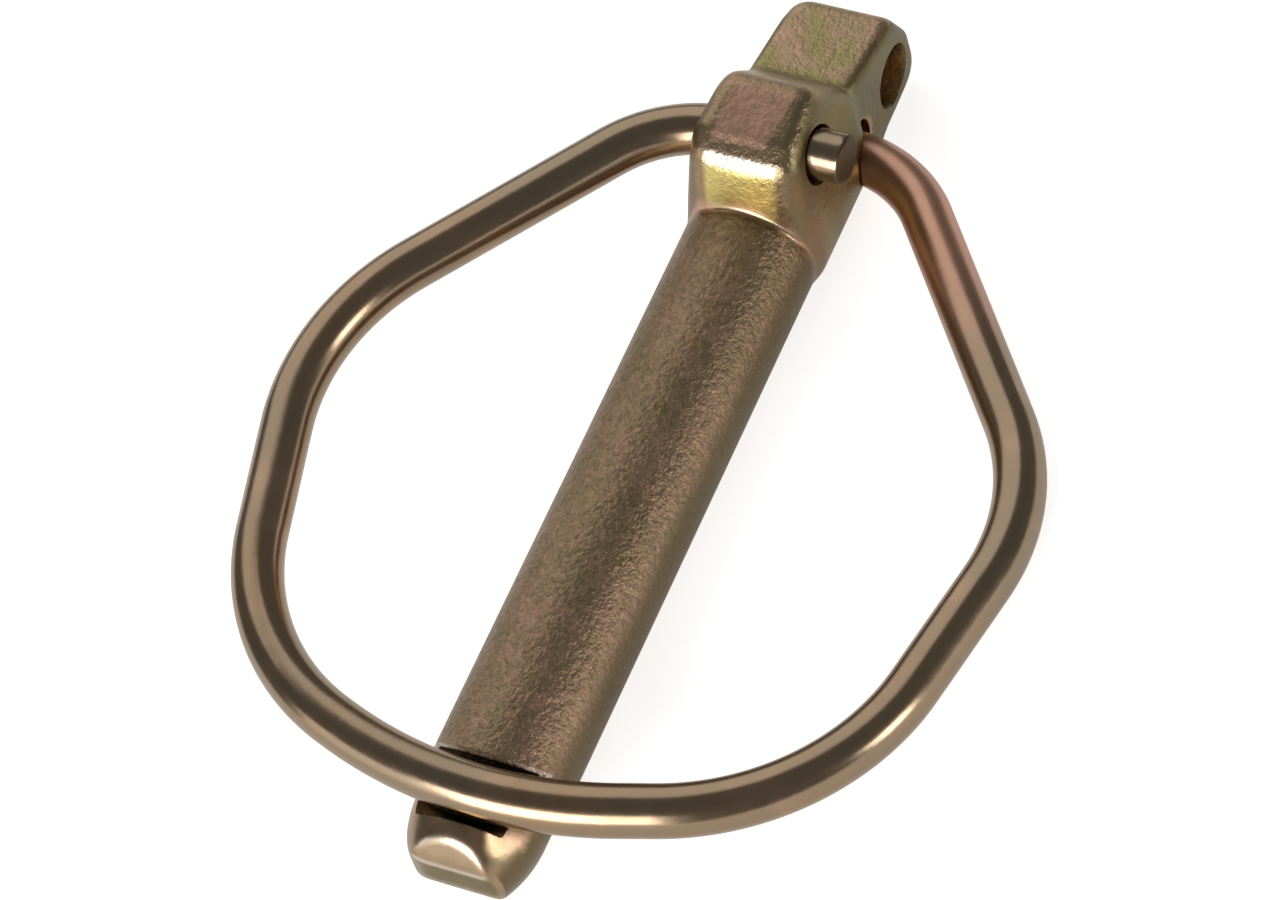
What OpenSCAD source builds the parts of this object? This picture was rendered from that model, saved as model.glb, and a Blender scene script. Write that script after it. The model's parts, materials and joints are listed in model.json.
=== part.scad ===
/* [Shank] */
// Radius of the round shank
shank_r = 5.35; // [5:0.05:6]
// Distance from the shoulder of the head to the far end of the nose
shank_len = 57.95; // [57.5:0.05:59]
// Radius of the nose past the notch, where it starts to taper
nose_r = 5.05; // [4.9:0.05:5.15]

/* [Head] */
// Radius of the round body that the head's flanks run out of
body_r = 5.8; // [5.4:0.05:5.9]
// Half the width of the front boss at its front corners
boss_half_w = 4.05; // [3.8:0.05:4.4]
// How far the boss's front facet leans out towards the top, in degrees
facet_lean = 12; // [6:1:16]
// Distance from the shank's axis to the middle of the front facet
facet_y = 11.15; // [10.9:0.05:11.4]
// Rounding of the boss's front edges
boss_edge_r = 0.9; // [0.5:0.1:1.2]
// Half the width of the eye tab at its foot
tab_half_w = 4.25; // [4:0.05:4.5]
// Height of the eye tab's crest above the shoulder
crest_z = 23.4; // [22.8:0.1:24]

/* [Holes] */
// Diameter of the two cross-holes that hold the ring's ends
ring_hole_d = 4.5; // [4.4:0.05:4.7]
// Diameter of the eye in the tab
eye_d = 5.0; // [4.6:0.1:5.2]

/* [Notch] */
// Height of the notch's flat floor over the shank's axis
notch_floor = 3.1; // [2.8:0.05:3.15]

/* [Ring] */
// Diameter of the spring wire
wire_d = 4.0; // [3.6:0.1:4]
// Radius of the wire's bend where it comes out of a cross-hole
arm_bend_r = 11; // [8:0.1:11.2]
// Radius of the two upper corners of the ring
upper_bend_r = 19.2; // [16:0.2:20]
// Radius of the lower corner on the left, where the ring is bent a little tighter
lower_left_r = 18.4; // [15:0.2:18.6]
// Radius of the lower corner on the right
lower_right_r = 19.8; // [16:0.2:20.4]
// Radius of the shallow bend over the notch
closing_bend_r = 35; // [28:1:35]
// Distance from the pin's middle to the wire's end in the front hole
front_end = 7.1; // [6.4:0.05:7.6]
// Distance from the pin's middle to the wire's end behind the back hole
back_end = 7.6; // [7:0.1:8.2]

/* [Hidden] */
$fn = 96;

// ---- Places on the pin, in its own frame: x across, y to the back, z from the nose to the head ----
wire_r = wire_d / 2;
front_hole = [-7.55, 5.55];
back_hole = [0.1, 11.2];
eye_at = [0.35, 19.4];
shoulder_z = 0.2;
nose_z = shoulder_z - shank_len;
wall_end = -49.6;
neck_z = -48;
closed_wire = [-notch_floor - 0.1 - wire_r, -52.75];
through = 40;
hair = 0.01;
tenon = 0.25;

// The corners of the ring: [across, share of the way from the holes down to the notch]
left_corners = [[-27.5, 0.429], [-21.2, 0.903]];
right_corners = [[25.55, 0.904], [30.3, 0.429]];
left_arm = 7.7;
right_arm = 8.75;
closing_drop = 1.95;

function mix(a, b, t) = a + t * (b - a);
function unit(v) = v / norm(v);
function arc(centre, r, from, to, n = 10) =
    [for (i = [0 : n]) let (a = mix(from, to, i / n)) centre + r * [cos(a), sin(a)]];

// A place on the ring's flat: across, and down from its hole towards the notch
function on_ring(x, hole, share) =
    let (yz = mix(hole, closed_wire, share)) [x, yz[0], yz[1]];

// A rigid move that lays local x and y along two square directions
module placed(origin, x_dir, y_dir) {
    z_dir = cross(x_dir, y_dir);
    multmatrix([
        [x_dir.x, y_dir.x, z_dir.x, origin.x],
        [x_dir.y, y_dir.y, z_dir.y, origin.y],
        [x_dir.z, y_dir.z, z_dir.z, origin.z]])
        children();
}

// ---- Lying at rest: on the round back, rolled until the ring's right side touches ----
corners = concat(
    [on_ring(front_end, front_hole, 0), on_ring(-left_arm, front_hole, 0)],
    [for (c = left_corners) on_ring(c[0], front_hole, c[1])],
    [[0, closed_wire[0], closed_wire[1] - closing_drop]],
    [for (c = right_corners) on_ring(c[0], back_hole, c[1])],
    [on_ring(right_arm, back_hole, 0), on_ring(-back_end, back_hole, 0)]);
bends = [0, arm_bend_r, upper_bend_r, lower_left_r, closing_bend_r,
    lower_right_r, upper_bend_r, arm_bend_r, 0];

function way(i) = unit(corners[i + 1] - corners[i]);
function bend_angle(i) = acos(way(i - 1) * way(i));
function reach(i) = bends[i] * tan(bend_angle(i) / 2);
function bend_start(i) = corners[i] - (bends[i] > 0 ? reach(i) : 0) * way(max(i - 1, 0));
function bend_end(i) = corners[i] + (bends[i] > 0 ? reach(i) : 0) * way(min(i, len(corners) - 2));
function inward(i) = unit(way(i) - (way(i) * way(i - 1)) * way(i - 1));
function on_bend(i, a) =
    bend_start(i) + bends[i] * (inward(i) * (1 - cos(a)) + way(i - 1) * sin(a));
ring_line = [for (i = [1 : len(corners) - 2]) for (t = [0 : 0.05 : 1]) on_bend(i, t * bend_angle(i))];

function lowest(roll) = max([for (p = ring_line) p.x * sin(roll) + p.y * cos(roll)]);
function settle(low, high, steps) =
    let (roll = (low + high) / 2)
    steps == 0 ? roll
    : lowest(roll) + wire_r > shank_r ? settle(low, roll, steps - 1) : settle(roll, high, steps - 1);
roll = settle(0, 20, 24);
side = [for (p = ring_line) p.x * cos(roll) - p.y * sin(roll)];
rest_shift = [(crest_z + nose_z) / 2, -(max(side) + min(side)) / 2, shank_r];

module lying() {
    translate(rest_shift)
        rotate([-roll, 0, 0])
            placed([0, 0, 0], [0, 1, 0], [0, 0, -1])
                children();
}

// A bore along x through the whole head
module cross_bore(at, d) {
    translate([-through / 2, at[0], at[1]]) rotate([0, 90, 0]) cylinder(h = through, d = d);
}

// An outline in y and z, drawn out across the pin
module side_prism(outline, half_w = through / 2) {
    placed([-half_w, 0, 0], [0, 1, 0], [0, 0, 1]) linear_extrude(2 * half_w) polygon(outline);
}

// An outline in x and z, drawn out from back to front
module front_prism(outline) {
    placed([0, through / 2, 0], [1, 0, 0], [0, 0, 1]) linear_extrude(through) polygon(outline);
}

// ---- Pin body: one forging, drilled across ----
flare_r = 10.5;
flare_h = 2.75;
flare_curve = 1.25;
head_top = crest_z + 2;
slope_tilt = 38;

// The shoulder under the boss, turned about the shank's axis: flattest at the shank, steeper outside
module flare() {
    steps = 10;
    slope = [for (i = [0 : steps]) let (t = i / steps)
        [mix(shank_r, flare_r, t), shoulder_z + flare_h * pow(t, flare_curve)]];
    rotate_extrude() polygon(concat([[0, shoulder_z]], slope, [[flare_r + 2, shoulder_z + flare_h + 2],
        [flare_r + 2, head_top], [0, head_top]]));
}

// Plan of the boss: flanks that run from the front corners to touch the round body
module keystone() {
    body_y = shank_r - body_r;
    corner = [boss_half_w - boss_edge_r, -facet_y - 2];
    gap = corner - [0, body_y];
    flank = atan2(gap.y, gap.x) + acos((body_r - boss_edge_r) / norm(gap));
    right = concat([corner + [boss_edge_r, -2]], arc([0, body_y], body_r, flank, 90, 16));
    left = [for (i = [len(right) - 1 : -1 : 0]) [-right[i].x, right[i].y]];
    translate([0, 0, shoulder_z]) linear_extrude(head_top - shoulder_z) polygon(concat(right, left));
}

// The leaning front facet with its two rounded edges
module boss_front() {
    corner = [boss_half_w - boss_edge_r, -facet_y + boss_edge_r];
    right = concat(arc(corner, boss_edge_r, -90, -8, 8), [[boss_half_w + 5, 15]]);
    left = [for (i = [len(right) - 1 : -1 : 0]) [-right[i].x, right[i].y]];
    translate([0, 0, front_hole[1]]) rotate([facet_lean, 0, 0]) translate([0, 0, -through / 2])
        linear_extrude(through) polygon(concat(right, left));
}

// The slope above the facet, its side edges rounded like the facet's
module boss_slope() {
    half = boss_half_w;
    r = 1.3;
    right = concat(arc([half - r, -r], r, 90, 14, 8), [[half + 5, -20]]);
    left = [for (i = [len(right) - 1 : -1 : 0]) [-right[i].x, right[i].y]];
    up = [0, -sin(slope_tilt), cos(slope_tilt)];
    placed([0, -10.6, 9.3] - 20 * cross([1, 0, 0], up), [1, 0, 0], up)
        linear_extrude(60) polygon(concat(left, right));
}

// Sides of the head seen from the front: they draw in to the tab's foot
module body_width() {
    neck = [9.8, 13.6];
    wide = body_r + 0.3;
    steps = 10;
    drawn_in = [for (i = [0 : steps]) let (t = i / steps)
        [mix(wide, tab_half_w - 0.05, (1 - cos(180 * t)) / 2), mix(neck[0], neck[1], t)]];
    right = concat([[wide, -1]], drawn_in);
    left = [for (i = [len(right) - 1 : -1 : 0]) [-right[i].x, right[i].y]];
    front_prism(concat(right, [[0, neck[1] + 1]], left));
}

// Low down, each flank leans out of the shank's side
module body_swell() {
    flank_turn = 9;
    far = 30;
    for_right = [[-far, -1], [shank_r + 0.05, -1], [shank_r + 0.05, shoulder_z + 0.2],
        [body_r + 0.3, 4.2], [body_r + 0.3, far], [-far, far]];
    for_left = [for (i = [len(for_right) - 1 : -1 : 0]) [-for_right[i].x, for_right[i].y]];
    intersection() {
        rotate(-flank_turn) front_prism(for_right);
        rotate(flank_turn) front_prism(for_left);
    }
}

// The tab seen from the front: a slight taper and rounded top corners
module tab_width() {
    right_r = 1.1;
    left_r = 2.1;
    right_x = tab_half_w - 0.05;
    left_x = tab_half_w - 0.2;
    right = arc([right_x - right_r, crest_z - right_r], right_r, 0, 90, 6);
    left = arc([left_r - left_x, crest_z - left_r], left_r, 90, 180, 8);
    front_prism(concat([[tab_half_w + 0.1, 5]], right, left, [[-tab_half_w - 0.1, 5]]));
}

// Plan of the tab: a flat bar with rounded edges
module tab_plan() {
    front_r = 1.0;
    back_r = 0.6;
    front = -7.6;
    back = 4.9;
    half = tab_half_w + 0.05;
    right = concat(arc([half - front_r, front + front_r], front_r, -90, 0, 6),
        arc([half - back_r, back - back_r], back_r, 0, 90, 6));
    left = [for (i = [len(right) - 1 : -1 : 0]) [-right[i].x, right[i].y]];
    translate([0, 0, 8]) linear_extrude(head_top) polygon(concat(right, left));
}

// The cone by which the tab's back corners grow out of the round body
module tab_root() {
    back = 3;
    translate([0, -back, 0]) rotate_extrude()
        polygon([[0, 8], [shank_r + back - 0.3, 8], [shank_r + back - 0.2, 11], [9.2, 15.5],
            [12, 19], [12, 30], [0, 30]]);
}

// Side outline of the whole head: boss, the hollow above it, the tab's lean and its round crest
module head_side() {
    chin = arc([-9.75, 4.45], 1.0, 260, 195, 6);
    cheek = arc([-10.3, 7.63], 1.5, 192, 128, 8);
    hollow = arc([-7.15, 13.65], 1.3, 270 + 30, 270 + 78, 6);
    brow = arc([-3.45, 20.45], 1.2, 168, 112, 6);
    crest = concat([[-0.4, crest_z]], arc([2.15, crest_z - 2], 2, 90, 0, 8));
    side_prism(concat([[-6, -2], [-14, 1], [-14, 3.3]], chin, cheek, hollow, brow, crest,
        [[4.15, 20.4], [4.15, 17.2], [shank_r + 0.1, 12.5], [shank_r + 0.2, -2]]));
}

module head() {
    intersection() {
        head_side();
        union() {
            intersection() {
                keystone();
                boss_front();
                boss_slope();
                body_width();
                body_swell();
                flare();
            }
            intersection() {
                tab_plan();
                tab_width();
                tab_root();
            }
        }
    }
}

// The nose: an ogive, bevelled front and back to a blunt end, and rounded off at its left corner
module nose() {
    centre_x = 0.1;
    above = -40;
    blunt = [-1.73, 0.75];
    side = shank_r + 1;
    bullet = [[nose_r, neck_z], [nose_r, nose_z + 5.2], [nose_r - 0.08, nose_z + 3.95],
        [nose_r - 0.36, nose_z + 2.65], [nose_r - 0.8, nose_z + 1.35], [nose_r - 1.2, nose_z + 0.45],
        [nose_r - 1.5, nose_z]];
    bevels = [[-side, above], [-side, nose_z + 2.1], [blunt[0], nose_z], [blunt[1], nose_z],
        [side, nose_z + 2.5], [side, above]];
    corner = [[10, above], [10, nose_z - 1], [-1, nose_z - 1], [-1, nose_z], [-2, nose_z + 0.15],
        [-3, nose_z + 0.65], [-3.8, nose_z + 1.45], [-4.35, nose_z + 2.5], [-4.75, nose_z + 3.6],
        [-5.05, nose_z + 5.2], [-10, above]];
    intersection() {
        translate([centre_x, 0, 0]) rotate_extrude()
            polygon(concat([[0, neck_z]], bullet, [[0, nose_z]]));
        side_prism(bevels);
        front_prism(corner);
    }
}

// The round shank: it tapers into the head above the shoulder, and down to the nose inside the notch
module shank() {
    taper = 0.8;
    rotate_extrude() polygon([[0, shoulder_z + taper], [nose_r, shoulder_z + taper],
        [shank_r, shoulder_z], [shank_r, wall_end], [nose_r, wall_end - taper], [0, wall_end - taper]]);
    nose();
}

// The notch: a flat floor, an upper wall that hooks over the wire and a lip that slopes away
module notch() {
    floor_y = -notch_floor;
    side_prism([[floor_y, -49.3], [floor_y - 0.3, -49.25], [-8, -51.4], [-8, -56.2],
        [floor_y - 0.5, -55.0], [floor_y, -54.6]]);
}

module pin_body() {
    color([0.53, 0.47, 0.36]) lying() difference() {
        union() {
            shank();
            head();
        }
        cross_bore(front_hole, ring_hole_d);
        cross_bore(back_hole, ring_hole_d);
        cross_bore(eye_at, eye_d);
        notch();
    }
}

// ---- Ring: one length of spring wire, bent in three dimensions, its ends sprung into the holes ----
module elbow(i) {
    start = bend_start(i);
    in_dir = inward(i);
    placed(start + bends[i] * in_dir, -in_dir, way(i - 1))
        rotate_extrude(angle = bend_angle(i))
            translate([bends[i], 0]) circle(r = wire_r);
}

// A straight run, a hair thinner than the bends and let into both of them by a short tenon
module straight(from, to, tenon_from, tenon_to) {
    along = unit(to - from);
    across = unit(cross(along, abs(along.x) > 0.9 ? [0, 1, 0] : [1, 0, 0]));
    placed(from - tenon_from * along, across, cross(along, across))
        cylinder(h = norm(to - from) + tenon_from + tenon_to, r = wire_r - hair);
}

module ring() {
    last = len(corners) - 1;
    color([0.66, 0.6, 0.48]) lying() union() {
        for (i = [0 : last - 1]) {
            straight(bend_end(i), bend_start(i + 1), i > 0 ? tenon : 0, i + 1 < last ? tenon : 0);
            if (i + 1 < last) elbow(i + 1);
        }
    }
}

pin_body();
ring();
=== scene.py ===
import json
import math

import bpy
import numpy as np
from mathutils import Matrix


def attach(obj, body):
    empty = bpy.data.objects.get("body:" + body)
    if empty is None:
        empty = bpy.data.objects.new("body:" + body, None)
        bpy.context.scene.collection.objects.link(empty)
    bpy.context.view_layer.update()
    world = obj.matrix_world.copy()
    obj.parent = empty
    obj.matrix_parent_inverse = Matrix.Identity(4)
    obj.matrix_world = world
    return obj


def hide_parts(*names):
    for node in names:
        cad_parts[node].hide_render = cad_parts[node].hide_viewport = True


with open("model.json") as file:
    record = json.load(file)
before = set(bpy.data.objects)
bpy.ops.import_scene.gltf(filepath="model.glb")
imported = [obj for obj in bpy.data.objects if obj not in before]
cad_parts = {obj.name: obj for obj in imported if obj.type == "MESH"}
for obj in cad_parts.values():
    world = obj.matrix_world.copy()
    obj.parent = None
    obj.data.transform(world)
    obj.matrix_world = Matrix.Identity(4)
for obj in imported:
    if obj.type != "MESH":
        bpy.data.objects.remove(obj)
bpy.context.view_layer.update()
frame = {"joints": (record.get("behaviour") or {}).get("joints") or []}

# ---- The pin body ----
# One steel forging with a round shank, a boss and an eye tab at the head and a bevelled nose.
# It is drilled across three times and notched near the nose, then shot-blasted, zinc plated
# and passivated, which gives the olive gold with pink and green in it.

MM = 0.001
SWING = frame["joints"][0]
ROLL = math.atan2(SWING["axis"][2], -SWING["axis"][1])
TURN = np.array([
    [0, 0, -1],
    [math.cos(ROLL), -math.sin(ROLL), 0],
    [-math.sin(ROLL), -math.cos(ROLL), 0]])

# Places on the upright pin, in mm: x across it, y to its back, z from the nose to the head.
FRONT_HOLE = np.array([0.0, -7.55, 5.55])
BACK_HOLE = np.array([0.0, 0.1, 11.2])
EYE = np.array([0.0, 0.35, 19.4])
HOLE_R, BACK_HOLE_R, EYE_R = 2.25, 2.6, 2.5
# The back hole is wider here than in the CAD, and nearer the tab. The edge of each hole is
# broken over a depth, and opens by a share of it.
BACK_PLAY = np.array([0.0, 0.0, 0.35])
EDGE_DEPTH, EDGE_SHARE = 0.3, 0.8
PLACE = np.array(SWING["pos_m"]) / MM - TURN @ ((FRONT_HOLE + BACK_HOLE) / 2)

SHANK_R = 5.35
NOSE_R = 5.05
SHOULDER_Z = 0.2
WALL_END_Z = -49.6
NOSE_START_Z = WALL_END_Z - 0.8
NOSE_Z = -57.75
CREST_Z = 23.5

# Flats in the plane of y and z: a point on each, and the way that it faces in degrees.
FACET_LEAN = math.radians(12)
FACET_OUT = 11.15
SLOPE = ((-10.6, 9.3), 128.1)
FLARE_STEPS = (((8.82, 1.07), -56), ((9.94, 1.83), -32))
TAB_FRONT = ((-6.3, 12.5), 167.7)
TAB_CREST = ((-0.4, CREST_Z), 117.7)
NOTCH_WALL = ((-5.6, -50.2), 112.9)
FRONT_BEVEL = ((-1.73, NOSE_Z), 245.6)
BACK_BEVEL = ((0.75, NOSE_Z), 294)

FLANK_TURN = math.radians(9)
FLANK_FOOT = ((6.25, 4.2), -10.4)
BOSS_FRONT_Y = -10.4
BOSS_CORNER_R = 0.9
TRIM_TURN = math.radians(50)


def lay_down(points):
    """Turns points of the upright pin, in mm, onto its back in the frame, in metres."""
    return (points @ TURN.T + PLACE) * MM


def round_over(a, b, width):
    """The larger of two distances, with the crease where they meet rounded over a width:
    inside the width it adds (width - |a - b|) squared, over four widths."""
    near = np.maximum(width - np.abs(a - b), 0)
    return np.maximum(a, b) + near * near / (4 * width)


def fill_in(a, b, width):
    """The smaller of two distances, with a fillet of that width in the corner."""
    return -round_over(-a, -b, width)


def plane(u, v, at, direction):
    """Distance in front of a plane through at, in two coordinates, facing direction in degrees."""
    a = math.radians(direction)
    return (u - at[0]) * math.cos(a) + (v - at[1]) * math.sin(a)


def flanks(x, y):
    """Plan of the boss: on each side a flat that runs from the front corner's circle
    to touch the body's circle, whose back is flush with the shank."""
    out = np.empty_like(x)
    for side, body_r, half_w in ((x >= 0, 5.65, 4.05), (x < 0, 6.0, 4.25)):
        body_y = SHANK_R - body_r
        gap = np.array([half_w - BOSS_CORNER_R, BOSS_FRONT_Y - body_y])
        turn = math.atan2(gap[1], gap[0])
        turn += math.acos((body_r - BOSS_CORNER_R) / np.hypot(*gap))
        px, py = np.abs(x[side]), y[side] - body_y
        flat = px * math.cos(turn) + py * math.sin(turn) - body_r
        out[side] = np.where(np.arctan2(py, px) > turn, np.hypot(px, py) - body_r, flat)
    return out


def boss_form(x, y, z):
    """The boss: a leaning front facet, a slope over it, and under it a shoulder that is a cone
    round the shank with two steeper flats in front. Its two flanks draw in at the top, over
    half a wave of a cosine, and end low down in a flat that leans out of the shank."""
    along_facet = (z - FRONT_HOLE[2]) * math.sin(FACET_LEAN)
    facet = -(y * math.cos(FACET_LEAN) + along_facet) - FACET_OUT
    shoulder = plane(np.hypot(x, y), z, (SHANK_R, SHOULDER_Z), -76)
    for foot, way in FLARE_STEPS:
        shoulder = round_over(shoulder, plane(-y, z, foot, way), 0.12)
    front = round_over(round_over(facet, plane(y, z, *SLOPE), 1.4), shoulder, 0.15)
    low_half_w, top_half_w = 6.15, 4.3
    drawn_in = np.clip((z - 9.8) / 3.8, 0, 1)
    half_w = low_half_w + (top_half_w - low_half_w) * (1 - np.cos(math.pi * drawn_in)) / 2
    lean_in = np.where(x < 0, 0.1 * (z - 5.5), -0.15)
    sides = round_over(flanks(x, y) + lean_in, np.abs(x) - half_w, 0.8)
    leaning = np.abs(x) * math.cos(FLANK_TURN) - y * math.sin(FLANK_TURN)
    sides = round_over(sides, plane(leaning, z, *FLANK_FOOT), 0.2)
    return round_over(front, sides, 1.5)


def tab_form(x, y, z):
    """The eye tab: a bar whose front leans back, with a round crest, on a spreading root."""
    front = plane(y, z, *TAB_FRONT)
    crest = round_over(z - CREST_Z, plane(y, z, *TAB_CREST), 0.2)
    back = y - np.interp(z, (12.5, 17.2, 21.4), (5.5, 4.4, 4.3))
    top = round_over(crest, back, 2.2)
    bar = round_over(top, front, 0.6)
    side = np.where(x > 0, x - 4.32, -x - 4.4)
    edge = np.interp(z, (18, 21), (1.05, 1.2)) - np.interp(y, (0, 3), (0, 0.35))
    edge = edge + (x < 0) * np.interp(z, (19, 22), (0, 0.9))
    root = np.hypot(x, y + 3) - np.interp(z, (8, 11, 15.5, 19), (8.05, 8.15, 9.2, 12))
    return np.maximum(round_over(round_over(bar, side, edge), root, 1), 7 - z)


def trim_flat(x, y, z):
    """Distance in front of the flat at the nose's right, which draws in towards the nose and
    runs out of the wall under the wire."""
    out = np.interp(z, (-57.5, -53.5, -52, -50), (4.22, 4.74, 4.9, 5.5))
    return x * math.sin(TRIM_TURN) - y * math.cos(TRIM_TURN) - out


def shank_form(x, y, z):
    """The round shank and the nose. From the notch on, the wall is a little slimmer, and its
    radius falls off as a power of the way to the tip. The left corner is an ellipse, the
    right has a trimmed flat, the notch's upper rim is broken by twice the square of the way
    into its last 0.3 mm, and two bevels leave a blunt end."""
    slim = np.clip((WALL_END_Z - z) / (WALL_END_Z - NOSE_START_Z), 0, 1)
    run = np.clip((-52.5 - z) / 5.25, 0, 1.3)
    radius = SHANK_R + (NOSE_R - SHANK_R) * slim - 1.5 * run ** 2.05
    wall = np.hypot(x - 0.1 * slim, y) - radius
    corner = np.hypot(np.minimum(x + 1.5, 0) / 3.6, np.minimum(z + 53.2, 0) / 4.62) * 4 - 4
    wall = round_over(wall, np.where(z < NOSE_START_Z, corner, -9), 0.4)
    wall = round_over(wall, trim_flat(x, y, z), 0.2)
    rim = 0.3
    broken = np.clip(rim - plane(y, z, *NOTCH_WALL), 0, rim) * (z > -51.5) * (y < -3.1)
    wall = wall + 2 * broken ** 2
    end = round_over(NOSE_Z - z, plane(y, z, *FRONT_BEVEL), 0.1)
    end = round_over(end, plane(y, z, *BACK_BEVEL), 0.3)
    return np.maximum(round_over(wall, end, 0.42), z - 1.4)


def pin_form(x, y, z):
    """Distance outside the whole pin, roughly in mm: the nearest of shank, boss and tab."""
    head = fill_in(boss_form(x, y, z), tab_form(x, y, z), 0.35)
    head = round_over(head, y - np.interp(z, (0, 12.5, 17.2), (5.5, 5.5, 4.4)), 0.4)
    return fill_in(head, shank_form(x, y, z), 0.4)


def cast(height, tilt, turns):
    """Carries rays out of the pin's axis to its surface. A ray leaves at a height, tilted up
    or down and turned round the axis; it walks out in even steps to the first open point,
    and then halves the last step until it lands."""
    tilt, turn = np.radians(tilt)[:, None], turns[None, :]
    way = np.stack([
        np.cos(tilt) * np.sin(turn), -np.cos(tilt) * np.cos(turn),
        np.sin(tilt) * np.ones_like(turn)], axis=-1)
    start = np.zeros_like(way)
    start[..., 2] = np.asarray(height)[:, None]
    step = 0.35
    walk = np.arange(1.5, 15.5, step)
    out = np.stack([pin_form(*np.moveaxis(start + way * d, -1, 0)) > 0 for d in walk])
    first = np.argmax(out, axis=0)
    high = walk[first]
    low = high - step
    for _ in range(12):
        middle = (low + high) / 2
        outside = pin_form(*np.moveaxis(start + way * middle[..., None], -1, 0)) > 0
        high = np.where(outside, middle, high)
        low = np.where(outside, low, middle)
    return start + way * middle[..., None]


def closed_skin(name, grid):
    """A closed mesh over a grid of points: quads between its rows, and a fan of triangles to
    the middle of its first row and of its last. A mesh that turns out inside out is flipped."""
    rows, columns = grid.shape[:2]
    points = np.concatenate([grid.reshape(-1, 3), grid[:1].mean(1), grid[-1:].mean(1)])
    here = np.arange(columns)
    after = (here + 1) % columns
    row = (np.arange(rows - 1) * columns)[:, None]
    quads = np.stack([row + here, row + after, row + columns + after, row + columns + here], -1)
    quads = quads.reshape(-1, 4)
    first = np.stack([np.full(columns, rows * columns), after, here], -1)
    last = np.stack([np.full(columns, rows * columns + 1), here, after], -1)
    last[:, 1:] += (rows - 1) * columns
    a, b, c = (points[quads[:, i]] for i in (0, 1, 2))
    if np.einsum("ij,ij->i", a, np.cross(b, c)).sum() < 0:
        quads, first, last = quads[:, ::-1], first[:, ::-1], last[:, ::-1]
    mesh = bpy.data.meshes.new(name)
    mesh.from_pydata(points, [], quads.tolist() + first.tolist() + last.tolist())
    mesh.shade_smooth()
    piece = bpy.data.objects.new(name, mesh)
    bpy.context.scene.collection.objects.link(piece)
    return piece


def bore(at, radius, wall_x):
    """A drilled hole's tool along x: a cylinder that opens a little past the wall, so that
    its edges are broken."""
    edge = np.array([wall_x - 0.1, wall_x + EDGE_DEPTH, 9])
    along = np.concatenate([-edge[::-1], [0], edge])
    wide = radius + np.clip(np.abs(along) - wall_x + 0.1, 0, EDGE_DEPTH) * EDGE_SHARE
    turn = np.linspace(0, 2 * math.pi, 96, endpoint=False)
    return np.stack([
        along[:, None] + 0 * turn, at[1] + wide[:, None] * np.cos(turn),
        at[2] + wide[:, None] * np.sin(turn)], axis=-1)


# The notch in the plane of y and z: floor, hooked upper wall, open front, then the lower lip.
NOTCH = np.array([
    [-3.1, -49.45], [-3.35, -49.25], [-5.6, -50.2], [-8, -51.2], [-8, -56.2], [-5.8, -55.6],
    [-3.6, -55.0], [-3.2, -54.85], [-3.1, -54.7]])


def notch_tool():
    """The notch's tool along x: a flat floor, an upper wall that hooks over, a sloping lip."""
    along = np.linspace(-9, 9, 7)
    tool = np.zeros((len(along), len(NOTCH), 3))
    tool[..., 0] = along[:, None]
    tool[..., 1:] = NOTCH
    return tool


def from_outline(y, z, outline):
    """Distance in a plane from points to a closed outline: the nearest of its straight sides."""
    start, side = outline, np.roll(outline, -1, axis=0) - outline
    gap = np.stack([y, z], -1)[:, None] - start
    share = np.clip((gap * side).sum(-1) / (side * side).sum(-1), 0, 1)
    return np.linalg.norm(gap - share[..., None] * side, axis=-1).min(axis=1)


# Where the rays leave the axis, from the eye down to the nose: a fan at each end, and rows
# between them that lie closer at the facet, the shoulder and the notch.
CROWN_ROWS, TIP_ROWS = 44, 56
heights = np.concatenate([
    np.full(CROWN_ROWS, EYE[2]), np.linspace(19.4, 12.8, 27), np.linspace(12.6, 6.8, 34),
    np.linspace(6.6, 4, 14), np.linspace(3.9, 0, 42), np.linspace(-0.1, -1.1, 8),
    np.linspace(-2.5, -48, 32), np.linspace(-48.3, -50.6, 28), np.linspace(-50.9, -53.8, 12),
    np.full(TIP_ROWS, -54.0)])
tilts = np.zeros(len(heights))
tilts[:CROWN_ROWS] = np.linspace(88.5, 1.5, CROWN_ROWS)
tilts[-TIP_ROWS:] = np.linspace(-1, -88.8, TIP_ROWS)
around = np.linspace(0, 2 * math.pi, 288, endpoint=False)
pin = closed_skin("pin_forging", cast(heights, tilts, around))
for tool in (
        bore(FRONT_HOLE, HOLE_R, 4.55), bore(BACK_HOLE + BACK_PLAY, BACK_HOLE_R, 5.2),
        bore(EYE, EYE_R, 4.15), notch_tool()):
    cutter = closed_skin("tool", tool)
    cut = pin.modifiers.new("cut", "BOOLEAN")
    cut.object, cut.operation, cut.solver = cutter, "DIFFERENCE", "EXACT"
    bpy.context.view_layer.objects.active = pin
    bpy.ops.object.modifier_apply(modifier="cut")
    bpy.data.objects.remove(cutter)


def read_points(mesh):
    """All of a mesh's points as one array."""
    points = np.empty(len(mesh.vertices) * 3, np.float32)
    mesh.vertices.foreach_get("co", points)
    return points.reshape(-1, 3).astype(float)


def mark(mesh, name, values):
    """Stores one number a point on a mesh, for its material to read."""
    held = mesh.attributes.new(name, "FLOAT", "POINT")
    held.data.foreach_set("value", values.astype(np.float32))


def fade(value, low, high):
    """0 below low, 1 above high, and an even S between them."""
    t = np.clip((value - low) / (high - low), 0, 1)
    return t * t * (3 - 2 * t)


def between(value, start, full, leave, end):
    """Rises from 0 at start to 1 at full, and falls from 1 at leave to 0 at end."""
    return fade(value, start, full) * fade(-value, -end, -leave)


def within(value, full, end):
    """1 while a value is within full of zero, on either side, and 0 past end."""
    return fade(-np.abs(value), -end, -full)


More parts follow.
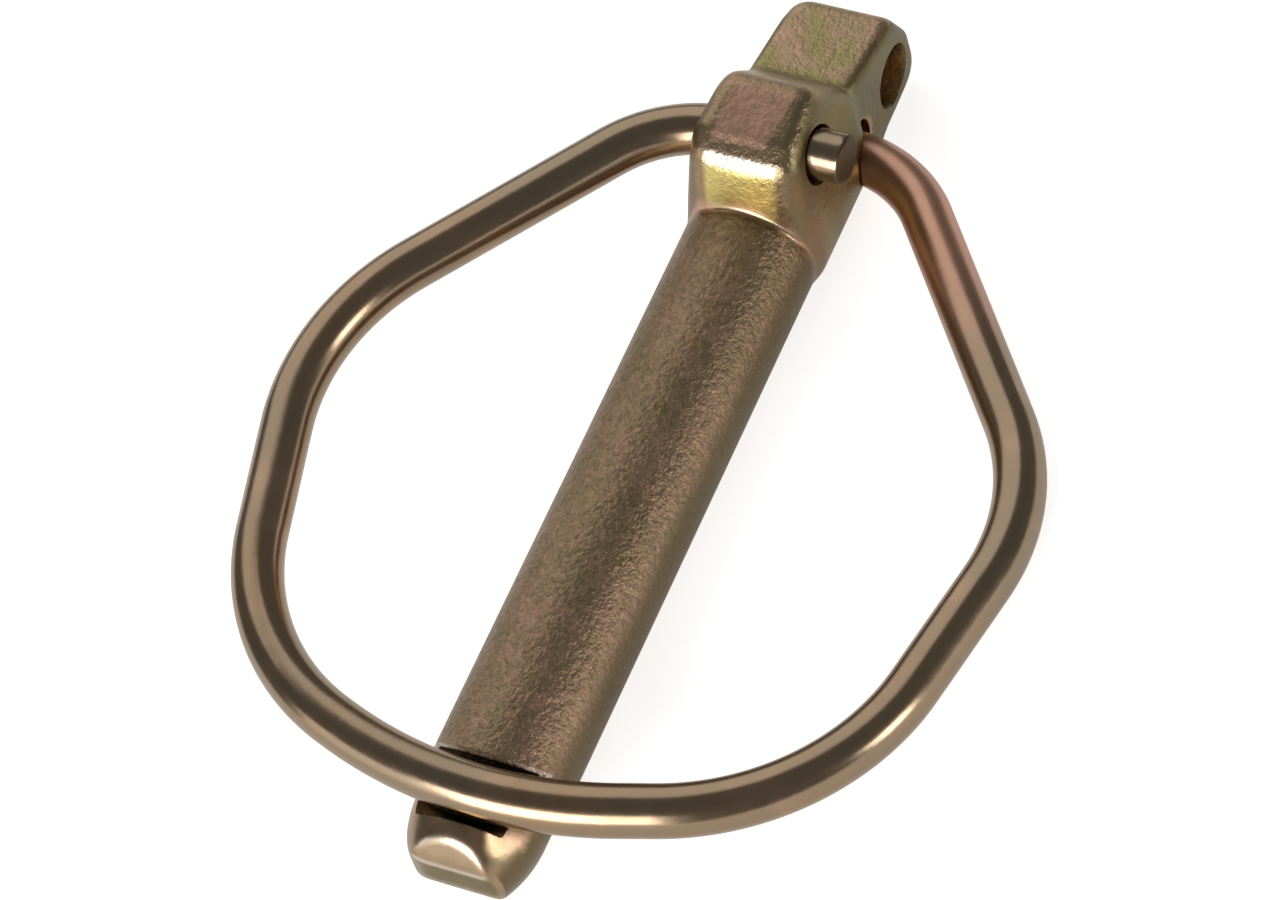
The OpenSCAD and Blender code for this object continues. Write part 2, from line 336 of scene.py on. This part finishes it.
spots = read_points(pin.data)
px, py, pz = spots.T
round_of = np.hypot(px, py)
back_at = BACK_HOLE + BACK_PLAY
in_bore = np.zeros(len(spots))
back_rim_r = BACK_HOLE_R + EDGE_DEPTH * EDGE_SHARE
for at, radius in ((FRONT_HOLE, HOLE_R), (back_at, back_rim_r), (EYE, EYE_R)):
    in_bore = np.maximum(in_bore, np.hypot(py - at[1], pz - at[2]) < radius + 0.02)
mark(pin.data, "bore", in_bore)
mark(pin.data, "notch", (from_outline(py, pz, NOTCH) < 0.02) & (py < -2.5))

# The shoulder: a flared flat, and the thin line where it meets the shank.
boss_front = within(px, 2.6, 3.2)
seam = within(pz - 0.12, 0.15, 0.45) * fade(round_of, 5.36, 5.42) * fade(-py, -1, 1)
mark(pin.data, "flare", between(pz, 0.1, 0.4, 1.15, 1.45) * fade(-py, 3, 5) * boss_front)
mark(pin.data, "seam", seam)

# The nose: the bevel's inner face, its light edge, its rounded arc, the trimmed flat, the end.
front_bevel = plane(py, pz, *FRONT_BEVEL)
on_nose = fade(-pz, 53.5, 54.5)
nose_edge = within(py - FRONT_BEVEL[0][0], 0.12, 0.3) * fade(-pz, 57.3, 57.5) * within(px, 2.7, 3.3)
nose_arc = 0.7 * within(front_bevel + 0.12, 0.06, 0.16) * on_nose * fade(-py, 2.2, 3.2)
mark(pin.data, "inner", fade(front_bevel, -0.12, -0.02) * on_nose * fade(-py, 1.4, 1.8))
mark(pin.data, "trimmed", fade(-pz, 52.5, 53.5) * fade(trim_flat(px, py, pz), -0.15, -0.05))
mark(pin.data, "end", fade(-pz, 57.5, 57.7) * fade(py, -1.5, -1.2))

# Painted highlights: the band under the facet, the seam, the notch's rim and the nose's rounded arc
# are painted bright silver, and the nose's light edge is worn bare.
band = between(pz, 1.1, 1.4, 1.8, 2.1) * fade(-py, 8, 9) * boss_front
notch_rim = fade(-plane(py, pz, *NOTCH_WALL), -0.32, -0.2) * (pz > -51) * (py < -2.6)
mark(pin.data, "highlight_and_wear", np.maximum.reduce([band, 0.1 * seam, notch_rim, nose_edge, nose_arc]))

# The facet, whose sides slant, and the tab with its green root and the slope below it.
from_left = px + 2.65 - 0.12 * (pz - 3.4)
from_right = 1.9 + 0.18 * (pz - 3.3) - px
mark(pin.data, "facet", fade(-py, 10.3, 10.6) * between(pz, 2.5, 2.8, 7.1, 7.6) * fade(
    from_left, -0.1, 0.15) * fade(from_right, -0.1, 0.15))
mark(pin.data, "tab", fade(pz, 12.8, 13.4) * fade(-py, 3.4, 4.4) * within(px, 3.5, 4.1))
mark(pin.data, "slope", between(pz, 7.6, 8.4, 11.6, 12.4) * fade(-py, 5, 6) * within(px, 3.6, 4.6))
mark(pin.data, "root", between(pz, 12.0, 12.9, 13.2, 14.2) * fade(-py, 5.4, 6.0))

# A painted glint of copper on the lit rim beside the back hole, a tint on the sides, and sides
# painted duller than the front as painted shade.
from_back_hole = np.hypot(py - back_at[1], pz - back_at[2])
mark(pin.data, "painted_glint", fade(px, 3.5, 4.5) * fade(pz, 12.4, 12.9) * (
    from_back_hole < 3.1) * fade(py, -1.6, -0.4))
mark(pin.data, "side", fade(pz, 1, 3) * fade(np.abs(px), 3.8, 4.6))
# Painted shade: the sides of the head and of the round shank are painted dark olive, for the
# shadowed floor they reflect.
on_shank = fade(-pz, -0.3, 0.1)
head_flank = fade(np.abs(px), 3.5, 4.15) * (0.45 + 0.55 * fade(pz, 2.5, 5))
shank_flank = 0.75 * fade(np.abs(px) / round_of, 0.84, 0.98) * (pz > NOSE_Z + 0.6)
mark(pin.data, "flank", (1 - on_shank) * head_flank + on_shank * shank_flank)
mark(pin.data, "toward_nose", np.clip(-pz / 50, 0, 1))
mark(pin.data, "blasted", fade(-pz, -0.2, 0.6) * fade(pz, -53.5, -51.5) + 0.5 * fade(pz, 0, 1))
pin.data.vertices.foreach_set("co", lay_down(spots).astype(np.float32).ravel())
pin.data.update()
pin.data.set_sharp_from_angle(angle=math.radians(32))


class Value:
    """A number that varies over a surface. Arithmetic on it adds Math nodes to its finish."""

    def __init__(self, finish, socket):
        self.finish, self.socket = finish, socket

    def maths(self, operation, *numbers):
        return self.finish.node(
            "ShaderNodeMath", {"operation": operation}, dict(enumerate(numbers)))

    def __add__(self, other):
        return self.maths("ADD", self, other)

    def __sub__(self, other):
        return self.maths("SUBTRACT", self, other)

    def __rsub__(self, other):
        return self.maths("SUBTRACT", other, self)

    def __mul__(self, other):
        return self.maths("MULTIPLY", self, other)

    __radd__ = __add__
    __rmul__ = __mul__

    def step(self, low, high):
        """0 below low, 1 above high, smooth between them."""
        return self.finish.node(
            "ShaderNodeMapRange", {"interpolation_type": "SMOOTHSTEP"},
            {"Value": self, "From Min": low, "From Max": high})


class Finish:
    """The nodes of one material, or of the room's light, being put together."""

    def __init__(self, owner):
        owner.use_nodes = True
        self.owner, self.tree = owner, owner.node_tree
        self.tree.nodes.clear()

    def node(self, kind, settings, sockets, out=0):
        """Adds a node: its settings first, then its sockets' values or links."""
        made = self.tree.nodes.new(kind)
        for key, value in settings.items():
            setattr(made, key, value)
        for key, value in sockets.items():
            if isinstance(value, Value):
                self.tree.links.new(value.socket, made.inputs[key])
            else:
                made.inputs[key].default_value = value
        return Value(self, made.outputs[out]) if made.outputs else made

    def read(self, name):
        """A number marked on the mesh."""
        return self.node("ShaderNodeAttribute", {"attribute_name": name}, {}, "Fac")

    def noise(self, where, scale, detail=2.0, rough=0.5):
        """Cloudy noise from 0 to 1 over a place."""
        return self.node("ShaderNodeTexNoise", {}, {
            "Vector": where, "Scale": scale, "Detail": detail, "Roughness": rough})

    def blend(self, share, one, other):
        """One colour turning into another by a share."""
        return self.node("ShaderNodeMix", {"data_type": "RGBA"}, {
            "Factor": share, 6: one, 7: other}, 2)

    def bump(self, height, distance):
        """Bends the surface's normal by a height."""
        return self.node("ShaderNodeBump", {}, {"Distance": distance, "Height": height})

    def metal(self, colour, roughness, normal):
        """Closes the finish as bare metal."""
        skin = self.node("ShaderNodeBsdfPrincipled", {}, {
            "Base Color": colour, "Roughness": roughness, "Normal": normal, "Metallic": 1.0})
        self.node("ShaderNodeOutputMaterial", {}, {"Surface": skin})
        return self.owner


# Tints of the passivate, from the plain olive to the bright edges, as linear colour. Some paint
# light: silver for highlights and worn edges, coral for a glint and a reflection, dark ones for
# shade.
OLIVE = (0.33, 0.26, 0.14, 1)
TAN = (0.43, 0.30, 0.18, 1)
PINK = (0.50, 0.32, 0.22, 1)
ROSE = (0.70, 0.42, 0.30, 1)
SAND = (0.55, 0.39, 0.23, 1)
LEAF = (0.40, 0.36, 0.13, 1)
BROWN = (0.17, 0.115, 0.07, 1)
GOLD = (0.80, 0.66, 0.24, 1)
HIGHLIGHT_AND_WEAR_SILVER = (0.74, 0.64, 0.54, 1)
FLANK_SHADE = (0.12, 0.095, 0.04, 1)
RUST = (0.34, 0.20, 0.08, 1)
CORAL_REFLECTION = (0.66, 0.36, 0.25, 1)
FERN = (0.15, 0.125, 0.045, 1)
NOTCH_SHADE = (0.075, 0.05, 0.027, 1)

forging = Finish(bpy.data.materials.new("plated_forging"))
place = forging.node("ShaderNodeTexCoord", {}, {}, "Object")
cloud = forging.noise(place, 130, 3)
patch = forging.noise(place, 420, 3, 0.6)
mottle = forging.noise(place, 1500, 2, 0.6)
speckle = forging.noise(place, 2300, 3, 0.65)
blasted = forging.read("blasted")
facet = forging.read("facet")
tab = forging.read("tab")
highlight_and_wear = forging.read("highlight_and_wear")
base = forging.blend(cloud.step(0.36, 0.64), OLIVE, TAN)
base = forging.blend(
    patch.step(0.4, 0.7) * (0.35 + 0.6 * forging.read("toward_nose")), base, PINK)
base = forging.blend(mottle.step(0.4, 0.7) * blasted * 0.3, base, ROSE)
# Painted shade: dark olive on the sides of the head and of the shank.
base = forging.blend(forging.read("flank"), base, FLANK_SHADE)
side = forging.read("side")
base = forging.blend(side * 0.3, base, LEAF)
base = forging.blend(side * patch.step(0.45, 0.6) * 0.3, base, RUST)
base = forging.blend(forging.read("slope") * 0.45, base, SAND)
base = forging.blend(facet * 0.9, base, ROSE)
base = forging.blend(facet * patch.step(0.4, 0.65) * 0.5, base, TAN)
base = forging.blend(tab * 0.9, base, SAND)
base = forging.blend(tab * forging.noise(place, 260, 2).step(0.46, 0.62) * 0.6, base, LEAF)
base = forging.blend(tab * patch.step(0.48, 0.66) * 0.6, base, ROSE)
base = forging.blend(forging.read("root") * 0.7, base, LEAF)
base = forging.blend(speckle.step(0.35, 0.7) * blasted * 0.5, base, BROWN)
base = forging.blend(forging.read("flare") * 0.95, base, GOLD)
# Painted highlights in silver on the band, the seam, the notch's rim and the nose's arc, and the
# worn nose edge.
base = forging.blend(highlight_and_wear * 0.85, base, HIGHLIGHT_AND_WEAR_SILVER)
base = forging.blend(forging.read("bore") * 0.85, base, RUST)
# Painted glint: coral on the lit rim beside the back hole.
base = forging.blend(forging.read("painted_glint") * 0.6, base, CORAL_REFLECTION)
base = forging.blend(forging.read("seam") * patch.step(0.35, 0.6) * 0.8, base, ROSE)
base = forging.blend(forging.read("inner") * 0.5, base, TAN)
base = forging.blend(forging.read("trimmed") * patch.step(0.45, 0.6) * 0.4, base, ROSE)
base = forging.blend(forging.read("end") * 0.85, base, FERN)
# Painted shade: the notch's walls are painted near-black brown, for the shade inside the notch.
base = forging.blend(forging.read("notch") * 0.9, base, NOTCH_SHADE)
rough = 0.24 + 0.12 * patch + 0.11 * blasted + 0.14 * facet - 0.05 * highlight_and_wear
relief = 1.3 * speckle * blasted + 0.5 * mottle * blasted + 0.35 * patch
relief = forging.bump(relief, 0.00013)
pin.data.materials.append(forging.metal(base, rough, relief))
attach(pin, "pin")
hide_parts("pin_body")

# ---- The spring ring ----
# One length of drawn spring wire, bent in three dimensions: each end turns in its own
# cross-hole, and the shallow bend at the far side rests in the notch. Plated as the pin is.

WIRE_R = 2.0
ROUND = 56
NOTCH_PLAY = 0.1
CLOSED = np.array([NOTCH[0, 0] - NOTCH_PLAY - WIRE_R, -52.75])
front_yz, back_yz = FRONT_HOLE[1:], BACK_HOLE[1:]


def on_ring(x, hole, share):
    """A corner of the ring: across, and a share of the way from a hole to the notch."""
    return [x, *(hole + share * (CLOSED - hole))]


# From the end in the front hole, round by the left and the notch, to the end behind the
# back hole, and the radius of the bend at each corner between the two ends.
corners = np.array([
    on_ring(7.1, front_yz, 0), on_ring(-7.7, front_yz, 0), on_ring(-27.5, front_yz, 0.429),
    on_ring(-21.2, front_yz, 0.903), [0, CLOSED[0], CLOSED[1] - 1.95],
    on_ring(25.55, back_yz, 0.904), on_ring(30.3, back_yz, 0.429), on_ring(8.75, back_yz, 0),
    on_ring(-7.6, back_yz, 0)])
bend_r = np.array([11.0, 19.2, 18.4, 35.0, 19.8, 19.2, 11.0])


def unit(vectors):
    """Vectors of length one."""
    return vectors / np.linalg.norm(vectors, axis=-1, keepdims=True)


def wire_line(spacing=0.3):
    """The wire's middle line: straight runs between corners, each corner replaced by an arc of
    its bend radius that touches both runs. Given back at even spacing, in mm."""
    way = unit(np.diff(corners, axis=0))
    bend = np.arccos(np.einsum("ij,ij->i", way[:-1], way[1:]))
    start = corners[1:-1] - (bend_r * np.tan(bend / 2))[:, None] * way[:-1]
    inward = unit(way[1:] - np.cos(bend)[:, None] * way[:-1])
    turn = bend[:, None] * np.linspace(0, 1, 60)
    arcs = start[:, None] + bend_r[:, None, None] * (
        inward[:, None] * (1 - np.cos(turn))[..., None] + way[:-1, None] * np.sin(turn)[..., None])
    line = np.concatenate([corners[:1], arcs.reshape(-1, 3), corners[-1:]])
    length = np.concatenate([[0], np.cumsum(np.linalg.norm(np.diff(line, axis=0), axis=1))])
    even = np.linspace(0, length[-1], int(length[-1] / spacing))
    return np.stack([np.interp(even, length, axis) for axis in line.T], axis=-1), even


line, travelled = wire_line()
along = unit(np.gradient(line, axis=0))
across = unit(np.cross(along, [0.0, -1.0, 0.0]))
out = np.cross(across, along)
turn = np.linspace(0, 2 * math.pi, ROUND, endpoint=False)[:, None]
section = WIRE_R * (np.cos(turn) * across[:, None] + np.sin(turn) * out[:, None])
tube = line[:, None] + section
# Each end is sheared off nearly flat: shares of the wire's radius, and how far out they lie.
closing = np.array([[0.25, 0.1], [0.7, 0.04], [0.86, 0.0], [0.95, -0.08], [0.99, -0.2]])
front_end = np.concatenate([
    line[:1, None] + section[:1] * s - along[:1, None] * lift for s, lift in closing])
back_end = np.concatenate([
    line[-1:, None] + section[-1:] * s + along[-1:, None] * lift for s, lift in closing[::-1]])
grid = np.concatenate([front_end, tube[1:-1], back_end])
ring = closed_skin("spring_ring", grid)
# How far along the wire each row lies. The arm at the back hole is painted coral, a painted
# reflection of the pink flank beside it.
length_at = np.concatenate([
    np.zeros(len(closing)), travelled[1:-1], np.full(len(closing), travelled[-1])])
far = np.concatenate([np.repeat(length_at, ROUND), [0, travelled[-1]]])
cut_rows = np.ones(len(closing))
sheared = np.concatenate([cut_rows, np.zeros(len(tube) - 2), cut_rows])
sheared = np.concatenate([np.repeat(sheared, ROUND), [1, 1]])
mark(ring.data, "sheared", sheared)
mark(ring.data, "pink_reflection", fade(far, travelled[-1] - 40, travelled[-1] - 25))
ring.data.vertices.foreach_set("co", lay_down(read_points(ring.data)).astype(np.float32).ravel())
ring.data.update()
ring.data.set_sharp_from_angle(angle=math.radians(40))

# The drawn wire is smoother and greyer than the forging, and bare where it was sheared.
ASH = (0.34, 0.26, 0.175, 1)
DRAWN = (0.38, 0.265, 0.165, 1)
BARE = (0.09, 0.055, 0.025, 1)

wire = Finish(bpy.data.materials.new("plated_wire"))
place = wire.node("ShaderNodeTexCoord", {}, {}, "Object")
cloud = wire.noise(place, 70, 3)
fine = wire.noise(place, 900, 3)
base = wire.blend(cloud.step(0.35, 0.65), ASH, DRAWN)
base = wire.blend(wire.noise(place, 160, 2).step(0.5, 0.72) * 0.6, base, PINK)
# Painted reflection: the arm at the back hole is painted coral, for the pink flank it reflects.
base = wire.blend(wire.read("pink_reflection") * 0.85, base, CORAL_REFLECTION)
base = wire.blend(wire.read("sheared") * 0.9, base, BARE)
rough = 0.17 + 0.10 * fine + 0.3 * wire.read("sheared") + 0.12 * wire.read("pink_reflection")
relief = wire.bump(fine, 0.00001)
ring.data.materials.append(wire.metal(base, rough, relief))
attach(ring, "spring_ring")
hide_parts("ring")

# ---- The floor ----
# A plain white sheet, far wider than the part, that keeps the part's own shadow. It glows to
# the camera and in reflections, so that it shows white.

floor_mesh = bpy.data.meshes.new("floor")
half = 6.0
floor_mesh.from_pydata(
    [(-half, -half, 0), (half, -half, 0), (half, half, 0), (-half, half, 0)], [], [(0, 1, 2, 3)])
floor = bpy.data.objects.new("floor", floor_mesh)
bpy.context.scene.collection.objects.link(floor)
paper = Finish(bpy.data.materials.new("white_sheet"))
seen = 0.78 * paper.node("ShaderNodeLightPath", {}, {}, "Is Camera Ray")
seen = seen + 0.35 * paper.node("ShaderNodeLightPath", {}, {}, "Is Glossy Ray")
sheet = paper.node("ShaderNodeBsdfDiffuse", {}, {"Color": (0.9, 0.9, 0.9, 1)})
glow = paper.node("ShaderNodeEmission", {}, {"Color": (1, 1, 1, 1), "Strength": seen})
both = paper.node("ShaderNodeAddShader", {}, {0: sheet, 1: glow})
paper.node("ShaderNodeOutputMaterial", {}, {"Surface": both})
floor_mesh.materials.append(paper.owner)

# ---- Lamps, surroundings and camera ----
# Four softboxes in a dim room: two stand low past the nose and one low at the right, for the
# bright lines, and a large faint one hangs behind the head. The camera looks down at the nose.


def softbox(name, toward, distance, width, height, radiance):
    """A flat lamp of a width and height in metres, at a distance in a direction, facing the
    object. Its power is pi times its area times its radiance."""
    lamp = bpy.data.lights.new(name, "AREA")
    lamp.shape, lamp.size, lamp.size_y = "RECTANGLE", width, height
    lamp.energy = math.pi * width * height * radiance
    holder = bpy.data.objects.new(name, lamp)
    bpy.context.scene.collection.objects.link(holder)
    back = unit(np.array(toward, float))
    side = unit(np.cross([0, 0, 1.0], back))
    up = np.cross(back, side)
    turned = np.eye(4)
    turned[:3, 0], turned[:3, 1], turned[:3, 2], turned[:3, 3] = side, up, back, back * distance
    holder.matrix_world = Matrix(turned)


softbox("lamp_nose", (0.94, -0.06, 0.33), 1.0, 0.58, 0.58, 6.0)
softbox("lamp_low", (0.78, -0.60, 0.22), 1.1, 0.60, 0.50, 1.1)
softbox("lamp_side", (-0.05, 0.98, 0.16), 1.0, 0.28, 0.34, 6.0)
softbox("lamp_far", (-0.60, -0.55, 0.75), 1.1, 1.15, 1.15, 0.8)

world = bpy.data.worlds.new("studio")
bpy.context.scene.world = world
air = Finish(world)
seen = air.node("ShaderNodeLightPath", {}, {}, "Is Camera Ray")
sky = air.node("ShaderNodeBackground", {}, {
    "Color": (1, 1, 1, 1), "Strength": 0.15 + 0.85 * seen})
air.node("ShaderNodeOutputWorld", {}, {"Surface": sky})

lens = bpy.data.cameras.new("camera")
lens.lens, lens.sensor_width, lens.clip_start, lens.clip_end = 154.69, 36.0, 0.01, 50.0
camera = bpy.data.objects.new("camera", lens)
bpy.context.scene.collection.objects.link(camera)
right = (-0.381431, 0.862886, -0.331569)
up = (-0.798442, -0.126782, 0.588571)
forward = np.array([-0.465833, -0.489238, -0.737323])
stand = np.eye(4)
stand[:3, 0], stand[:3, 1], stand[:3, 2] = right, up, -forward
stand[:3, 3] = np.array([195.155, 199.143, 311.248]) * MM
camera.matrix_world = Matrix(stand)
bpy.context.scene.camera = camera
bpy.context.scene.view_settings.view_transform = "Standard"
